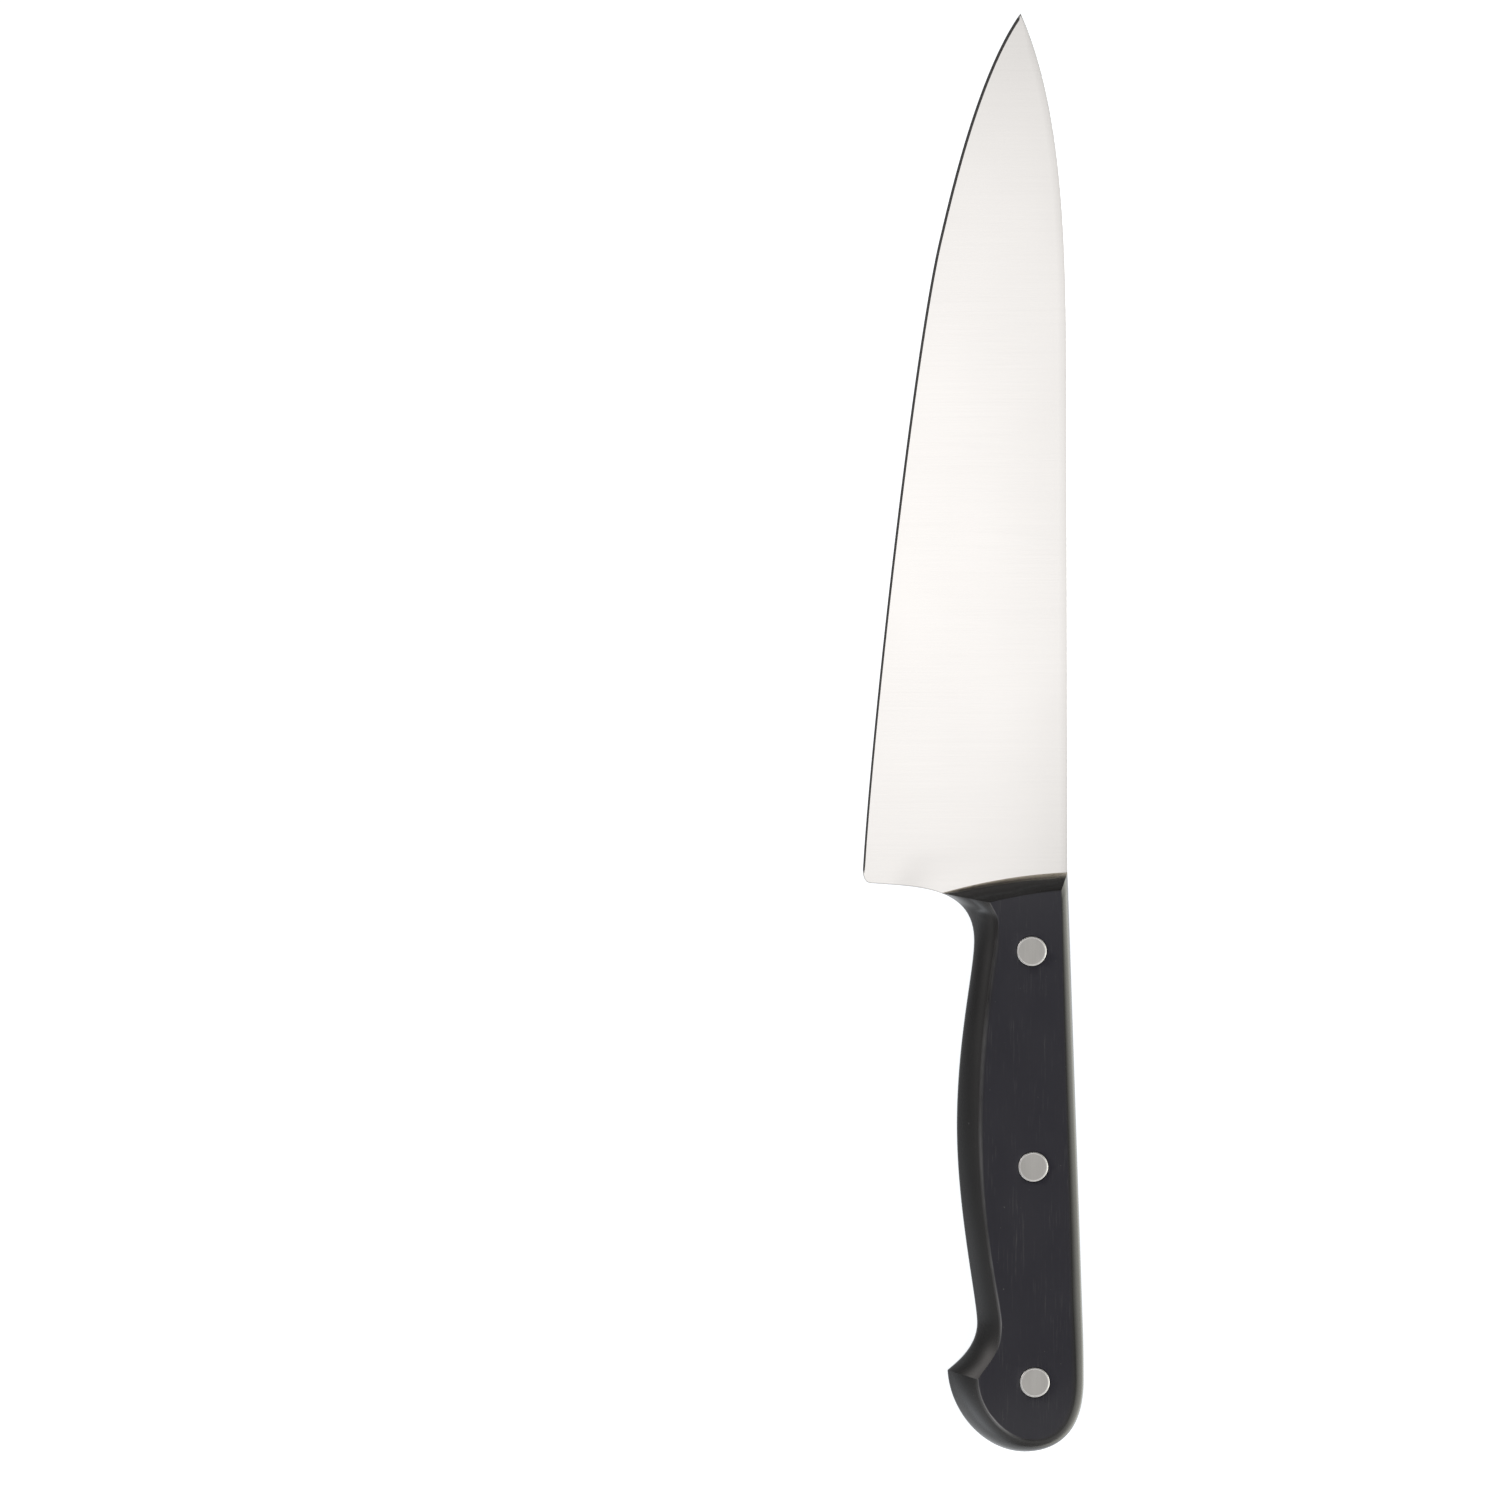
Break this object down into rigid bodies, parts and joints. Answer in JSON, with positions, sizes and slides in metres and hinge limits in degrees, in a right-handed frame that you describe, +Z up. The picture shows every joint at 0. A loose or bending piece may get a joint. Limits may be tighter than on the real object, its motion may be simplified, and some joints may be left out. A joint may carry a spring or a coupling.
{
  "type": "chef knife",
  "caption": "Full-tang chef knife with a tapered blade, a black two-scale riveted handle, a finger hollow and a hooked butt.",
  "frame": {"origin": "under the middle of the knife's box, in the plane of the right scale's flat face, on which the knife lies", "axes": "+Y along the knife to the blade's tip, +X to the back of the blade, -X to the cutting edge, +Z up out of the left side"},
  "size_m": [0.0514, 0.3348, 0.0178],
  "materials": {
    "blade_steel": "stainless steel, finely ground across the blade, satin sheen",
    "handle_polymer": "black moulded polymer, flats brushed lengthwise, ground edges smoother",
    "rivet_steel": "satin rivet heads with a brighter turned rim"
  },
  "bodies": {
    "root": {"blade": "blade_steel", "handle_scale_left": "handle_polymer", "handle_scale_right": "handle_polymer", "rivet_front_post": "rivet_steel", "rivet_front_sleeve": "rivet_steel", "rivet_middle_post": "rivet_steel", "rivet_middle_sleeve": "rivet_steel", "rivet_rear_post": "rivet_steel", "rivet_rear_sleeve": "rivet_steel"}
  },
  "joints": []
}
